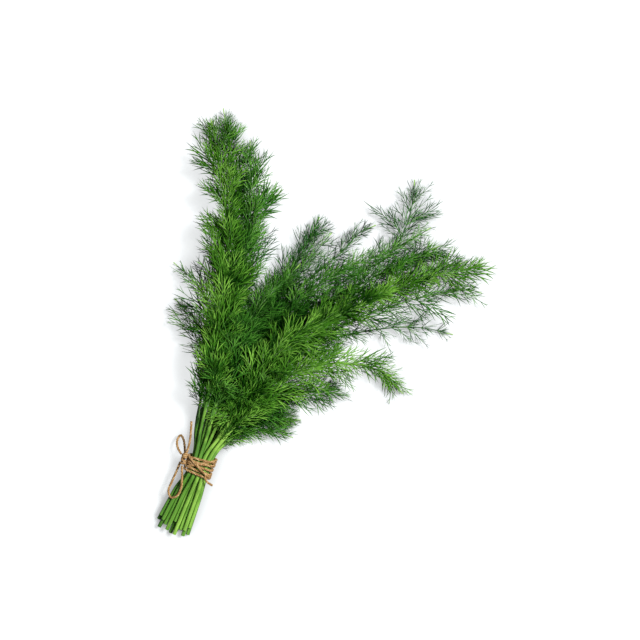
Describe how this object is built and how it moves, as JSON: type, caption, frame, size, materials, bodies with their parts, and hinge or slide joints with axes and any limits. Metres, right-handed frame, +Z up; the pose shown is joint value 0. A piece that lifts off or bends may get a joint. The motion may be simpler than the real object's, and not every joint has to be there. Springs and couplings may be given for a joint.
{
  "type": "dill bunch",
  "caption": "Bunch of fresh cut dill, feathery green sprigs fanned to one side, held by turns of jute twine with a small bow.",
  "frame": {"origin": "on the surface that the bunch lies on, under the middle of the bunch's outline", "axes": "+Z up from the surface, +Y along the bunch from the cut stem ends towards the tallest plume, +X towards the side that the longest plumes fan to"},
  "size_m": [0.244, 0.3198, 0.0374],
  "materials": {
    "dill_light": "satin",
    "dill_mid": "satin",
    "dill_dark": "satin",
    "jute_twine": "matte"
  },
  "bodies": {
    "root": {"sprig_01": "dill_light", "sprig_02": "dill_mid", "sprig_03": "dill_dark", "sprig_04": "dill_light", "sprig_05": "dill_mid", "sprig_06": "dill_mid", "sprig_07": "dill_dark", "sprig_08": "dill_mid", "sprig_09": "dill_dark", "sprig_10": "dill_mid", "sprig_11": "dill_dark", "sprig_12": "dill_mid", "sprig_13": "dill_dark", "sprig_14": "dill_mid", "sprig_15": "dill_dark", "sprig_16": "dill_light", "sprig_17": "dill_dark", "sprig_18": "dill_mid", "sprig_19": "dill_mid", "sprig_20": "dill_light", "sprig_21": "dill_light", "sprig_22": "dill_mid", "twine_tie": "jute_twine", "twine_upper_loop": "jute_twine", "twine_lower_loop": "jute_twine"}
  },
  "joints": []
}
